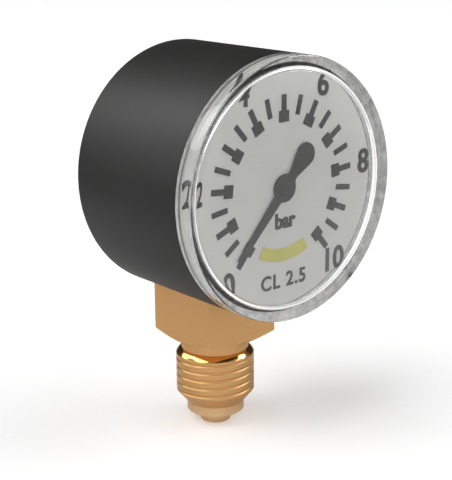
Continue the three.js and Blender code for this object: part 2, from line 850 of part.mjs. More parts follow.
function makeSocket() {
  const neck_bottom = thread_top + thread_neck_rise;
  const barrel = turnedUpright([
    [0, pilot_length],
    [pilot_radius, pilot_length],
    [thread_radius, thread_lead],
    [thread_radius, thread_top],
    [neck_radius, neck_bottom],
    [0, neck_bottom],
  ]);
  const thread = barrel.intersect(screwSolid(pilot_length, neck_bottom));
  const below = turnedUpright([
    [0, -spigot_length],
    [spigot_radius - spigot_edge, -spigot_length],
    [spigot_radius, -spigot_length + spigot_edge],
    [spigot_radius, 0],
    [pilot_radius, 0],
    [pilot_radius, pilot_length],
    [0, pilot_length + 1],
  ]);
  const neck = turnedUpright([
    [0, neck_bottom - 1],
    [neck_radius, neck_bottom],
    [neck_radius, block_bottom + 0.5],
    [0, block_bottom + 0.5],
  ]);
  const half = wrench_size / 2;
  const corner_radius = half * Math.SQRT2 + 1;
  const chamfer_rise = (corner_radius - block_chamfer_radius) * Math.tan(radians(block_chamfer_angle));
  const bar_top = dial_height + block_top;
  const bar = block([-half, -half, block_bottom], [half, half, bar_top]);
  const envelope = turnedUpright([
    [0, block_bottom],
    [block_chamfer_radius, block_bottom],
    [corner_radius, block_bottom + chamfer_rise],
    [corner_radius, bar_top + 1],
    [0, bar_top + 1],
  ]);
  const tongue = block(
    [-tongue_half, -tongue_front, bar_top - 1],
    [tongue_half, half, dial_height + tongue_top],
  );
  const tube_seat = sweptOval(tube_start + 1, tongue_edge - 6, fixed_gap, 8)
    .translate([0, 0, dial_height]);
  const bore_top = dial_height - tube_radius;
  const restrictor_top = -spigot_length + restrictor_depth + restrictor_length;
  const channel = turnedUpright([
    [0, -spigot_length - 1],
    [restrictor_radius + fixed_gap, -spigot_length - 1],
    [restrictor_radius + fixed_gap, restrictor_top + bottom_gap],
    [bore_radius, restrictor_top + bottom_gap],
    [bore_radius, bore_top],
    [0, bore_top],
  ], small_segments);
  const case_screws = [-1, 1].map((side) => pin(
    case_screw_radius + fixed_gap, back_outer - case_screw_length - 1, half + 1, [side * case_screw_place, case_screw_height],
  ).translate([0, 0, dial_height]));
  const carrier_screws = carrier_discs.map(([x, z]) => pin(
    carrier_screw_radius + fixed_gap, -tongue_front - 1, -tongue_front + carrier_screw_grip + bottom_gap, [x, z],
  ).translate([0, 0, dial_height]));
  return cut(
    joined(below, thread, neck, bar.intersect(envelope), tongue),
    tube_seat, channel, ...case_screws, ...carrier_screws,
  );
}

add('socket', makeSocket(), turned_brass, gauge);

// ---- restrictor ----

function makeRestrictor() {
  const low = -spigot_length + restrictor_depth;
  const high = low + restrictor_length;
  const body = turnedUpright([
    [restrictor_orifice, low],
    [restrictor_radius, low],
    [restrictor_radius, high],
    [restrictor_orifice, high],
    [restrictor_orifice, low],
  ], small_segments);
  const slot = block([-restrictor_radius - 1, -0.2, low - 1], [restrictor_radius + 1, 0.2, low + 0.5]);
  return cut(body, slot);
}

add('restrictor', makeRestrictor(), plate_brass, gauge);

// ---- case screws ----

for (const [name, side] of [['left', -1], ['right', 1]]) {
  const screw = slottedScrew(case_screw_head, case_screw_head_height, case_screw_radius, case_screw_length - case_screw_head_height)
    .rotate([180, 0, 0])
    .translate([side * case_screw_place, back_outer - case_screw_head_height, case_screw_height]);
  add(`case_screw_${name}`, screw, bright_steel);
}

export default gauge;
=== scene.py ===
import json
from math import acos, asin, atan2, cos, hypot, pi, radians, sin

import bpy
from mathutils import Matrix, Vector


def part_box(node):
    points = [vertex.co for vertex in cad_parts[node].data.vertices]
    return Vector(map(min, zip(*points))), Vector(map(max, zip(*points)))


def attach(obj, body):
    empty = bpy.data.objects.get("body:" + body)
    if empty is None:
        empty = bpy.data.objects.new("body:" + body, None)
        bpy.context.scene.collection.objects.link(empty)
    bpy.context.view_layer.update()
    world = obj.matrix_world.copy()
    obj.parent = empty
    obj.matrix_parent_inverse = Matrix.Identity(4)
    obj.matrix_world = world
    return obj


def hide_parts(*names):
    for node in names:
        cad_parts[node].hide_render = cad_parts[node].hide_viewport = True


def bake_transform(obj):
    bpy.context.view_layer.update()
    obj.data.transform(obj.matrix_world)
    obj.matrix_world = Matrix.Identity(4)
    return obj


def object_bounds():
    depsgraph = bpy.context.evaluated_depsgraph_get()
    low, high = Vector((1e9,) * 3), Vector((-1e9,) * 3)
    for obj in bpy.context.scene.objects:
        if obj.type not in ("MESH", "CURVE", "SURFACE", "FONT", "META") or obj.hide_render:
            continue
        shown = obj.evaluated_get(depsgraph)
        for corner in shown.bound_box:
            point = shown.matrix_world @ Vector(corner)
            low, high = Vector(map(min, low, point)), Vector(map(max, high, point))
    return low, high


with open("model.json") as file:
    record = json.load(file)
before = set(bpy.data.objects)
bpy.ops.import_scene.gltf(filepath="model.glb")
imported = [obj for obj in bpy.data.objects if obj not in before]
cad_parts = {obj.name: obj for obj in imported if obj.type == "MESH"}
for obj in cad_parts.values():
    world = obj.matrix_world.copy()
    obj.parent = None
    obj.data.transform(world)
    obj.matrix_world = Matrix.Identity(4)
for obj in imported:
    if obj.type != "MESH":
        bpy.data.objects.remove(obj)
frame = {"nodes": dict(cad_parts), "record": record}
cad_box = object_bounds()
MM = 0.001

# ---------------------------------------------------------------------------
# Camera, in front of the dial's left side and a little above it, with the
# gauge filling the height of the picture.
# ---------------------------------------------------------------------------
camera_place = Vector((-121.91, -148.53, 83.28)) * MM
camera_right = Vector((0.7645, -0.6445, -0.0095)).normalized()
camera_up = Vector((0.1822, 0.2020, 0.9623))
camera_back = camera_right.cross(camera_up).normalized()
camera_up = camera_back.cross(camera_right)

bpy.ops.object.select_all(action="DESELECT")
bpy.ops.object.camera_add()
camera = bpy.context.object
camera.name = "camera"
camera.data.lens = 92.35
camera.data.sensor_width = 36
camera.data.clip_start = 0.005
turn = Matrix((camera_right, camera_up, camera_back)).transposed()
camera.matrix_world = Matrix.Translation(camera_place) @ turn.to_4x4()
bpy.context.scene.camera = camera

# ---------------------------------------------------------------------------
# Studio: a white floor under the spigot and a surround that is darker overhead
# and behind. A wide key light stands high at the left and a weaker one at the
# right; three more lights show only as highlights on the plastic and brass.
# ---------------------------------------------------------------------------
floor_gap = 0.02 * MM
floor_size = 6.0
floor_lift = 0.27
floor_albedo_in_view = 0.96
# Distances and colours of the floor's painted pool of light, which only reflections see.
floor_near, floor_far = 0.08, 0.25
floor_painted_light_near, floor_painted_shade_far = 0.80, 0.04


def in_view(tree):
    """1 for rays that the camera sees, straight or through the window, and 0 for all others."""
    path = tree.nodes.new("ShaderNodeLightPath")
    either = tree.nodes.new("ShaderNodeMath")
    either.operation = "MAXIMUM"
    tree.links.new(path.outputs["Is Camera Ray"], either.inputs[0])
    tree.links.new(path.outputs["Is Transmission Ray"], either.inputs[1])
    return either.outputs["Value"]


def eased(tree, value, start, end, first, last):
    """Goes smoothly from first to last while value goes from start to end."""
    node = tree.nodes.new("ShaderNodeMapRange")
    node.interpolation_type = "SMOOTHSTEP"
    for label, number in (("From Min", start), ("From Max", end), ("To Min", first), ("To Max", last)):
        node.inputs[label].default_value = number
    tree.links.new(value, node.inputs["Value"])
    return node.outputs["Result"]


bpy.ops.mesh.primitive_plane_add(size=floor_size, location=(0, 0, cad_box[0][2] - floor_gap))
floor = bpy.context.object
floor.name = "floor"
floor_paint = bpy.data.materials.new("floor_paint")
floor_paint.use_nodes = True
tree = floor_paint.node_tree
floor_shader = tree.nodes["Principled BSDF"]
floor_shader.inputs["Roughness"].default_value = 0.8
floor_shader.inputs["Specular IOR Level"].default_value = 0.1
floor_shader.inputs["Emission Color"].default_value = (1, 1, 1, 1)
seen = in_view(tree)
lift = tree.nodes.new("ShaderNodeMath")
lift.operation = "MULTIPLY"
lift.inputs[1].default_value = floor_lift
tree.links.new(seen, lift.inputs[0])
tree.links.new(lift.outputs["Value"], floor_shader.inputs["Emission Strength"])

# Painted pool of light: in the gauge's reflections the floor is pale near it and fades to near black
# further off, painted shade standing in for a table lit only round the gauge.
far = tree.nodes.new("ShaderNodeVectorMath")
far.operation = "LENGTH"
tree.links.new(tree.nodes.new("ShaderNodeTexCoord").outputs["Object"], far.inputs[0])
painted_pool = eased(tree, far.outputs["Value"], floor_near, floor_far, floor_painted_light_near, floor_painted_shade_far)
albedo = tree.nodes.new("ShaderNodeMix")
albedo.data_type = "FLOAT"
albedo.inputs["B"].default_value = floor_albedo_in_view
tree.links.new(seen, albedo.inputs["Factor"])
tree.links.new(painted_pool, albedo.inputs["A"])
tree.links.new(albedo.outputs["Result"], floor_shader.inputs["Base Color"])
floor.data.materials.append(floor_paint)

# The surround's brightness by height, from straight down (0) to straight up (1), and its
# dimming towards one side. In view it is plain white.
surround_tones = ((0.50, 0.90), (0.62, 0.95), (0.74, 0.62), (0.86, 0.25), (1.0, 0.12))
dark_side = (0.64, 0.77, 0.0)
bright_side_tone, dark_side_tone = 1.12, 0.05
dark_from, dark_to = -0.1, 0.7

world = bpy.data.worlds.new("surround")
world.use_nodes = True
bpy.context.scene.world = world
tree = world.node_tree
surround = tree.nodes["Background"]
direction = tree.nodes.new("ShaderNodeTexCoord").outputs["Generated"]
height = tree.nodes.new("ShaderNodeSeparateXYZ")
share = tree.nodes.new("ShaderNodeMapRange")
share.inputs["From Min"].default_value = -1.0
share.inputs["From Max"].default_value = 1.0
tones = tree.nodes.new("ShaderNodeValToRGB")
for place, _ in surround_tones[2:]:
    tones.color_ramp.elements.new(place)
for element, (place, tone) in zip(tones.color_ramp.elements, surround_tones):
    element.position = place
    element.color = (tone, tone, tone, 1)
tree.links.new(direction, height.inputs["Vector"])
tree.links.new(height.outputs["Z"], share.inputs["Value"])
tree.links.new(share.outputs["Result"], tones.inputs["Fac"])
tree.links.new(tones.outputs["Color"], surround.inputs["Color"])
side = tree.nodes.new("ShaderNodeVectorMath")
side.operation = "DOT_PRODUCT"
side.inputs[1].default_value = dark_side
tree.links.new(direction, side.inputs[0])
dimmed = eased(tree, side.outputs["Value"], dark_from, dark_to, bright_side_tone, dark_side_tone)
tree.links.new(dimmed, surround.inputs["Strength"])
white = tree.nodes.new("ShaderNodeBackground")
white.inputs["Color"].default_value = (1, 1, 1, 1)
mix = tree.nodes.new("ShaderNodeMixShader")
tree.links.new(in_view(tree), mix.inputs["Fac"])
tree.links.new(surround.outputs["Background"], mix.inputs[1])
tree.links.new(white.outputs["Background"], mix.inputs[2])
tree.links.new(mix.outputs["Shader"], tree.nodes["World Output"].inputs["Surface"])

light_distance = 3.5
light_target = Vector((0, -0.005, 0.035))


def soft_light(name, azimuth, elevation, size, power, only_gloss=False):
    """A round light that faces the gauge, at an angle from +X towards +Y and a height angle."""
    across = cos(radians(elevation))
    place = light_target + light_distance * Vector((
        cos(radians(azimuth)) * across, sin(radians(azimuth)) * across, sin(radians(elevation))))
    bpy.ops.object.light_add(type="AREA", location=place)
    light = bpy.context.object
    light.name = name
    light.data.shape = "DISK"
    light.data.size = size
    light.data.energy = power
    light.visible_diffuse = not only_gloss
    light.rotation_euler = (light_target - place).to_track_quat("-Z", "Y").to_euler()


soft_light("key_light", 168, 62, 3.0, 66)
soft_light("fill_light", -42, 52, 2.6, 31)
soft_light("left_gloss", 119, 33, 1.8, 20, only_gloss=True)
soft_light("upper_gloss", 138, 46, 0.9, 9, only_gloss=True)
soft_light("right_gloss", -26, 36, 1.2, 42, only_gloss=True)

bpy.context.scene.view_settings.view_transform = "Standard"

# ---------------------------------------------------------------------------
# Shared finish, used by every piece: a fine grain and a slow change of tone and
# gloss, as moulding, painting and tools leave them.
# ---------------------------------------------------------------------------


def new_group(name, inputs, outputs):
    group = bpy.data.node_groups.new(name, "ShaderNodeTree")
    for label, value in inputs.items():
        socket = group.interface.new_socket(label, in_out="INPUT", socket_type="NodeSocketFloat")
        socket.default_value = value
    for label, kind in outputs.items():
        group.interface.new_socket(label, in_out="OUTPUT", socket_type=kind)
    inlet = group.nodes.new("NodeGroupInput")
    outlet = group.nodes.new("NodeGroupOutput")
    return group, inlet, outlet


def math_node(tree, operation, first, second):
    node = tree.nodes.new("ShaderNodeMath")
    node.operation = operation
    for socket, value in zip(node.inputs, (first, second)):
        if isinstance(value, (int, float)):
            socket.default_value = value
        else:
            tree.links.new(value, socket)
    return node.outputs["Value"]


def noise_node(tree, place, scale, detail, roughness=0.5):
    node = tree.nodes.new("ShaderNodeTexNoise")
    tree.links.new(place, node.inputs["Vector"])
    tree.links.new(scale, node.inputs["Scale"])
    node.inputs["Detail"].default_value = detail
    node.inputs["Roughness"].default_value = roughness
    return node.outputs["Fac"]


def make_grain_group():
    """Grain height, a slow change of gloss, and the same slow change for the tone."""
    group, inlet, outlet = new_group(
        "surface_grain",
        {"Grain Scale": 4000, "Patch Scale": 90, "Roughness": 0.4, "Roughness Change": 0.1},
        {"Height": "NodeSocketFloat", "Roughness": "NodeSocketFloat", "Patch": "NodeSocketFloat"},
    )
    place = group.nodes.new("ShaderNodeTexCoord").outputs["Object"]
    grain = noise_node(group, place, inlet.outputs["Grain Scale"], 2.0)
    patch = noise_node(group, place, inlet.outputs["Patch Scale"], 4.0, 0.6)
    centred = math_node(group, "SUBTRACT", patch, 0.5)
    change = math_node(group, "MULTIPLY", centred, inlet.outputs["Roughness Change"])
    roughness = math_node(group, "ADD", inlet.outputs["Roughness"], change)
    group.links.new(grain, outlet.inputs["Height"])
    group.links.new(roughness, outlet.inputs["Roughness"])
    group.links.new(patch, outlet.inputs["Patch"])
    return group


grain_group = make_grain_group()


def new_material(name, colour, **settings):
    material = bpy.data.materials.new(name)
    material.use_nodes = True
    shader = material.node_tree.nodes["Principled BSDF"]
    shader.inputs["Base Color"].default_value = (*colour, 1)
    for label, value in settings.items():
        shader.inputs[label.replace("_", " ")].default_value = value
    return material


def add_grain(material, colours, grain_scale, patch_scale, roughness, change, depth):
    """Gives a material its grain, its patchy gloss and a colour between two close tones."""
    tree = material.node_tree
    shader = tree.nodes["Principled BSDF"]
    grain = tree.nodes.new("ShaderNodeGroup")
    grain.node_tree = grain_group
    for label, value in (("Grain Scale", grain_scale), ("Patch Scale", patch_scale),
                         ("Roughness", roughness), ("Roughness Change", change)):
        grain.inputs[label].default_value = value
    ramp = tree.nodes.new("ShaderNodeValToRGB")
    ramp.color_ramp.elements[0].position = 0.35
    ramp.color_ramp.elements[1].position = 0.65
    for element, colour in zip(ramp.color_ramp.elements, colours):
        element.color = (*colour, 1)
    tree.links.new(grain.outputs["Patch"], ramp.inputs["Fac"])
    tree.links.new(ramp.outputs["Color"], shader.inputs["Base Color"])
    tree.links.new(grain.outputs["Roughness"], shader.inputs["Roughness"])
    bump = tree.nodes.new("ShaderNodeBump")
    bump.inputs["Strength"].default_value = 1.0
    bump.inputs["Distance"].default_value = depth
    tree.links.new(grain.outputs["Height"], bump.inputs["Height"])
    tree.links.new(bump.outputs["Normal"], shader.inputs["Normal"])


# ---------------------------------------------------------------------------
# Case: a deep round cup moulded in black plastic. Its rim has a slot for the
# window's skirt and a ring inside for the dial. The connection's square block
# comes out through a hole in its wall, and two screws go in through its back.
# ---------------------------------------------------------------------------
case_low, case_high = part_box("case")
dial_low, dial_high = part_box("dial")
window_low, window_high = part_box("window")
block_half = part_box("socket")[1].x

dial_centre = (case_low.z + case_high.z) / 2
case_radius = (case_high.z - case_low.z) / 2
case_wall = 2.7 * MM
case_rim = case_low.y
case_back = case_high.y
back_wall = 1.5 * MM
back_rounding = 0.5 * MM
inner_rounding = 0.8 * MM
rim_rounding = 0.12 * MM
block_gap = 0.16 * MM
slot_inner = case_radius - 1.8 * MM
slot_outer = case_radius - 1.15 * MM
slot_bottom = case_rim + 3.1 * MM
case_screw_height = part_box("case_screw_left")[0].z + 1.7 * MM
case_screw_side = 4.5 * MM


def rounded_corner(centre, radius, start, end, steps=6):
    """Points on an arc in an outline of (radius, depth), from one angle to another."""
    angles = [radians(start + (end - start) * i / steps) for i in range(steps + 1)]
    return [(centre[0] + radius * cos(a), centre[1] + radius * sin(a)) for a in angles]


def pick(piece):
    """Selects one piece and nothing else."""
    bpy.ops.object.select_all(action="DESELECT")
    bpy.context.view_layer.objects.active = piece
    piece.select_set(True)


def added(name, data):
    piece = bpy.data.objects.new(name, data)
    bpy.context.scene.collection.objects.link(piece)
    pick(piece)
    return piece


def merge_and_face_out():
    bpy.ops.mesh.select_all(action="SELECT")
    bpy.ops.mesh.remove_doubles(threshold=0.0005 * MM)
    bpy.ops.mesh.normals_make_consistent(inside=False)


def spin_outline(name, outline, centre, upright=False, steps=192):
    """Turns an outline of (radius, depth) points round the dial's axis, or round the
    connection's axis when upright. The outline starts and ends on the axis or on itself."""
    if upright:
        corners = [(r, 0, along) for r, along in outline]
    else:
        corners = [(centre[0] + r, along, centre[2]) for r, along in outline]
    mesh = bpy.data.meshes.new(name)
    mesh.from_pydata(corners, [(i, i + 1) for i in range(len(corners) - 1)], [])
    piece = added(name, mesh)
    bpy.ops.object.mode_set(mode="EDIT")
    bpy.ops.mesh.select_all(action="SELECT")
    axis = (0, 0, 1) if upright else (0, 1, 0)
    bpy.ops.mesh.spin(steps=steps, angle=2 * pi, center=centre, axis=axis)
    merge_and_face_out()
    bpy.ops.object.mode_set(mode="OBJECT")
    return piece


def bevel_edges(piece, width, segments):
    modifier = piece.modifiers.new("bevel", "BEVEL")
    modifier.width = width
    modifier.segments = segments
    modifier.limit_method = "ANGLE"
    modifier.angle_limit = radians(30)
    modifier.use_clamp_overlap = True
    apply_modifier(piece, modifier)


def apply_modifier(piece, modifier):
    pick(piece)
    bpy.ops.object.modifier_apply(modifier=modifier.name)


def combine(piece, tool, operation):
    """Cuts, joins or trims a piece with a tool, which is then thrown away."""
    modifier = piece.modifiers.new("combine", "BOOLEAN")
    modifier.operation = operation
    modifier.solver = "EXACT"
    modifier.object = tool
    apply_modifier(piece, modifier)
    bpy.data.objects.remove(tool)


def box_between(name, low, high):
    middle = (Vector(low) + Vector(high)) / 2
    bpy.ops.object.select_all(action="DESELECT")
    bpy.ops.mesh.primitive_cube_add(size=1, location=middle)
    piece = bpy.context.object
    piece.name = name
    piece.scale = Vector(high) - Vector(low)
    settle(piece)
    return piece


def rod(name, radius, length, middle, turned=(0, 0, 0)):
    bpy.ops.object.select_all(action="DESELECT")
    bpy.ops.mesh.primitive_cylinder_add(
        vertices=64, radius=radius, depth=length, location=middle, rotation=turned)
    piece = bpy.context.object
    piece.name = name
    settle(piece)
    return piece


def cut_along_y(piece, name, radius, front, back, x, z):
    hole = rod(name, radius, back - front, (x, (front + back) / 2, z), (pi / 2, 0, 0))
    combine(piece, hole, "DIFFERENCE")


def cut_upright(piece, name, radius, low, high):
    combine(piece, rod(name, radius, high - low, (0, 0, (low + high) / 2)), "DIFFERENCE")


def settle(piece):
    """Moves a piece's place into its mesh, so that its object sits at the origin."""
    pick(piece)
    bpy.ops.object.transform_apply(location=True, rotation=True, scale=True)


def smooth(piece, angle=30):
    pick(piece)
    bpy.ops.object.shade_smooth_by_angle(angle=radians(angle))


axis_point = (0, 0, dial_centre)
inner_radius = case_radius - case_wall
back_inner = case_back - back_wall
case_shell = spin_outline("case_shell", [
    (0, back_inner),
    (inner_radius - inner_rounding, back_inner),
    *rounded_corner((inner_radius - inner_rounding, back_inner - inner_rounding), inner_rounding, 90, 0),
    (inner_radius, dial_high.y + 0.05 * MM),
    (slot_inner, dial_high.y + 0.05 * MM),
    (slot_inner, slot_bottom),
    (slot_outer, slot_bottom),
    (slot_outer, case_rim + 2.3 * MM),
    (slot_outer + 0.2 * MM, case_rim + 2.1 * MM),
    (slot_outer + 0.2 * MM, case_rim + 1.6 * MM),
    (slot_outer, case_rim + 1.4 * MM),
    *rounded_corner((slot_outer + rim_rounding, case_rim + rim_rounding),
                    rim_rounding, 180, 270, 3),
    *rounded_corner((case_radius - rim_rounding, case_rim + rim_rounding),
                    rim_rounding, 270, 360, 3),
    *rounded_corner((case_radius - back_rounding, case_back - back_rounding),
                    back_rounding, 0, 90, 8),
    (0, case_back),
], axis_point, steps=240)
hole_half = block_half + block_gap
combine(case_shell, box_between(
    "block_hole", (-hole_half, -hole_half, case_low.z - MM),
    (hole_half, back_inner, dial_centre - inner_radius + 3 * MM)), "DIFFERENCE")
for x in (-case_screw_side, case_screw_side):
    cut_along_y(case_shell, "screw_hole", 1.0 * MM, back_inner - MM, case_back + MM, x, case_screw_height)
    cut_along_y(case_shell, "screw_recess", 1.8 * MM, case_back - 0.8 * MM, case_back + MM,
                x, case_screw_height)
smooth(case_shell)

case_black = new_material("case_black", (0.0105, 0.0100, 0.0092), Specular_IOR_Level=0.6, IOR=1.5)
add_grain(case_black, ((0.0094, 0.0090, 0.0082), (0.0116, 0.0111, 0.0102)),
          grain_scale=5200, patch_scale=160, roughness=0.52, change=0.05, depth=0.004 * MM)
case_shell.data.materials.append(case_black)
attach(case_shell, "gauge_body")
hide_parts("case")

# ---------------------------------------------------------------------------
# Window: a clear cup moulded in hard plastic, with a flat pane, a deep wall
# and a thin skirt behind it that snaps into the case's slot.
# ---------------------------------------------------------------------------
window_front = window_low.y
skirt_end = window_high.y
pane_thickness = 0.9 * MM
window_wall = 1.7 * MM
window_edge = 0.35 * MM
window_fillet = 1.0 * MM
skirt_thickness = 0.45 * MM
wall_end = case_rim - 0.05 * MM
wall_inner = case_radius - window_wall
skirt_outer = wall_inner + skirt_thickness
pane_back = window_front + pane_thickness

window = spin_outline("window_cup", [
    (0, window_front),
    *rounded_corner((case_radius - window_edge, window_front + window_edge),
                    window_edge, 270, 360, 8),
    *rounded_corner((case_radius - 0.1 * MM, wall_end - 0.1 * MM), 0.1 * MM, 0, 90, 3),
    (skirt_outer, wall_end),
    (skirt_outer, case_rim + 1.5 * MM),
    (skirt_outer + 0.2 * MM, case_rim + 1.8 * MM),
    (skirt_outer, case_rim + 2.1 * MM),
    *rounded_corner((skirt_outer - 0.1 * MM, skirt_end - 0.1 * MM), 0.1 * MM, 0, 90, 3),
    (wall_inner, skirt_end),
    *rounded_corner((wall_inner - window_fillet, pane_back + window_fillet),
                    window_fillet, 360, 270, 10),
    (0, pane_back),
], axis_point, steps=240)
smooth(window)

window_clear = new_material(
    "window_clear", (1.0, 1.0, 1.0), Roughness=0.006, IOR=1.49, Transmission_Weight=1.0)
tree = window_clear.node_tree
shader = tree.nodes["Principled BSDF"]
ripple = tree.nodes.new("ShaderNodeGroup")
ripple.node_tree = grain_group
for label, value in (("Grain Scale", 420), ("Patch Scale", 60),
                     ("Roughness", 0.006), ("Roughness Change", 0.008)):
    ripple.inputs[label].default_value = value
bump = tree.nodes.new("ShaderNodeBump")
bump.inputs["Distance"].default_value = 0.0006 * MM
tree.links.new(ripple.outputs["Height"], bump.inputs["Height"])
tree.links.new(bump.outputs["Normal"], shader.inputs["Normal"])
tree.links.new(ripple.outputs["Roughness"], shader.inputs["Roughness"])
light_path = tree.nodes.new("ShaderNodeLightPath")
clear_for_light = tree.nodes.new("ShaderNodeBsdfTransparent")
mix = tree.nodes.new("ShaderNodeMixShader")
tree.links.new(light_path.outputs["Is Shadow Ray"], mix.inputs["Fac"])
tree.links.new(shader.outputs["BSDF"], mix.inputs[1])
tree.links.new(clear_for_light.outputs["BSDF"], mix.inputs[2])
tree.links.new(mix.outputs["Shader"], tree.nodes["Material Output"].inputs["Surface"])
window.data.materials.append(window_clear)

# The wall's end and the skirt are rough from the mould, and look milky through the wall.
window_milky = new_material("window_milky", (0.5, 0.5, 0.49), Specular_IOR_Level=0.3)
add_grain(window_milky, ((0.34, 0.34, 0.335), (0.62, 0.62, 0.605)),
          grain_scale=2600, patch_scale=900, roughness=0.5, change=0.2, depth=0.01 * MM)
window.data.materials.append(window_milky)
for face in window.data.polygons:
    radius = hypot(face.center.x, face.center.z - dial_centre)
    if face.center.y > wall_end - 0.09 * MM and radius > wall_inner + 0.1 * MM:
        face.material_index = 1
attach(window, "gauge_body")
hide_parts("window")

# ---------------------------------------------------------------------------
# Dial: a stamped disc with a pale grey enamel face, resting on the ring in
# the case and held there by the window. Its hole lets the arbor through.
# ---------------------------------------------------------------------------
dial_face = dial_low.y
dial_back = dial_high.y
dial_radius = (dial_high.x - dial_low.x) / 2
dial_hole = 1.5 * MM

dial = spin_outline("dial_disc", [
    (dial_hole, dial_face + 0.05 * MM),
    (dial_hole + 0.05 * MM, dial_face),
    (dial_radius - 0.1 * MM, dial_face),
    (dial_radius, dial_face + 0.1 * MM),
    (dial_radius, dial_back),
    (dial_hole, dial_back),
    (dial_hole, dial_face + 0.05 * MM),
], axis_point, steps=192)
smooth(dial)
dial_enamel = new_material("dial_enamel", (0.45, 0.45, 0.43), Specular_IOR_Level=0.4)
add_grain(dial_enamel, ((0.475, 0.475, 0.455), (0.50, 0.50, 0.48)),
          grain_scale=2600, patch_scale=240, roughness=0.5, change=0.1, depth=0.006 * MM)
dial.data.materials.append(dial_enamel)
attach(dial, "gauge_body")
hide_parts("dial")

# ---------------------------------------------------------------------------
# Scale: 0 to 10 over 280 degrees, raised a little on the dial and printed
# dark. A long mark with a block at its foot stands at each unit, and a plain
# rounded bar at each half.
# ---------------------------------------------------------------------------
print_height = 0.1 * MM
zero_angle = 230
full_angle = -50
units = 10
block_foot, block_top, block_width = 10.0 * MM, 11.7 * MM, 2.0 * MM
bar_top, bar_width = 14.1 * MM, 0.95 * MM
half_foot, half_top, half_width = 11.1 * MM, 14.1 * MM, 0.85 * MM
mark_edge = 0.035 * MM
print_front = dial_face - print_height
print_back = dial_face + 0.02 * MM


def joined(name, pieces):
    bpy.ops.object.select_all(action="DESELECT")
    for piece in pieces:
        piece.select_set(True)
    bpy.context.view_layer.objects.active = pieces[0]
    bpy.ops.object.join()
    result = bpy.context.object
    result.name = name
    return result


def copied(piece, place):
    """A copy with its own mesh, moved by a matrix."""
    twin = piece.copy()
    twin.data = piece.data.copy()
    twin.data.transform(place)
    bpy.context.scene.collection.objects.link(twin)
    return twin


def about_dial(angle):
    """Turns a mark that stands over the dial's centre to its angle on the scale."""
    centre = Matrix.Translation(axis_point)
    return centre @ Matrix.Rotation(radians(90 - angle), 4, "Y") @ centre.inverted()


def scale_angle(reading):
    return zero_angle + (full_angle - zero_angle) * reading / units


def upright_mark(name, width, foot, top):
    return box_between(
        name, (-width / 2, print_front, dial_centre + foot), (width / 2, print_back, dial_centre + top))


unit_mark = upright_mark("unit_block", block_width, block_foot, block_top)
combine(unit_mark, upright_mark("unit_bar", bar_width, block_foot + 0.5 * MM, bar_top), "UNION")
bevel_edges(unit_mark, mark_edge, 2)
half_mark = upright_mark("half_bar", half_width, half_foot, half_top)
bevel_edges(half_mark, mark_edge, 2)
marks = []
for step in range(2 * units + 1):
    angle = scale_angle(step / 2)
    marks.append(copied(half_mark if step % 2 else unit_mark, about_dial(angle)))
for pattern in (unit_mark, half_mark):
    bpy.data.objects.remove(pattern)
scale_marks = joined("scale_marks", marks)
smooth(scale_marks)

print_dark = new_material("print_dark", (0.026, 0.0255, 0.0245), Specular_IOR_Level=0.25)
add_grain(print_dark, ((0.023, 0.0225, 0.0215), (0.029, 0.0285, 0.0275)),
          grain_scale=3800, patch_scale=300, roughness=0.55, change=0.1, depth=0.004 * MM)
scale_marks.data.materials.append(print_dark)
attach(scale_marks, "gauge_body")

# ---------------------------------------------------------------------------
# Lettering: the scale's even numerals near the dial's edge, the unit below
# the centre, and the accuracy class at the bottom, raised and printed dark.
# ---------------------------------------------------------------------------
numeral_radius, numeral_height = 17.0 * MM, 3.85 * MM
small_height = 2.35 * MM
letter_height_in_font = 0.73


def raised_text(name, words, height, middle, thicken, narrow, spacing=1.0):
    """Words centred at (x, z) on the dial, with capitals of the given height."""
    bpy.ops.object.select_all(action="DESELECT")
    bpy.ops.object.text_add()
    text = bpy.context.object
    text.name = name
    text.data.body = words
    text.data.size = height / letter_height_in_font
    text.data.align_x = "CENTER"
    text.data.align_y = "CENTER"
    text.data.extrude = print_height / 2
    text.data.offset = thicken
    text.data.space_character = spacing
    text.data.resolution_u = 6
    bpy.ops.object.convert(target="MESH")
    text = bpy.context.object
    corners = [v.co for v in text.data.vertices]
    shift = Vector(((min(c.x for c in corners) + max(c.x for c in corners)) / 2,
                    (min(c.y for c in corners) + max(c.y for c in corners)) / 2, 0))
    text.data.transform(Matrix.Translation(-shift))
    text.data.transform(Matrix.Diagonal((narrow, 1, 1, 1)))
    text.data.transform(Matrix.Rotation(pi / 2, 4, "X"))
    text.data.transform(Matrix.Translation(
        (middle[0], dial_face - print_height / 2, dial_centre + middle[1])))
    bpy.ops.object.mode_set(mode="EDIT")
    merge_and_face_out()
    bpy.ops.object.mode_set(mode="OBJECT")
    return text


texts = []
for number in range(0, units + 1, 2):
    angle = radians(scale_angle(number))
    middle = (numeral_radius * cos(angle), numeral_radius * sin(angle))
    texts.append(raised_text(f"numeral_{number}", str(number), numeral_height, middle, 0.12 * MM, 0.92))
texts.append(raised_text("unit", "bar", small_height, (0.35 * MM, -5.0 * MM), 0.13 * MM, 0.95))
texts.append(raised_text("class", "CL 2.5", small_height, (0, -14.3 * MM), 0.06 * MM, 0.95, 1.14))
lettering = joined("lettering", texts)
smooth(lettering)
lettering.data.materials.append(print_dark)
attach(lettering, "gauge_body")

# ---------------------------------------------------------------------------
# Band: a plain yellow-green arc printed low on the dial, round its centre.
# ---------------------------------------------------------------------------
band_inner, band_outer = 9.3 * MM, 11.3 * MM
band_from, band_to = 244, 296
band_edge = 0.02 * MM


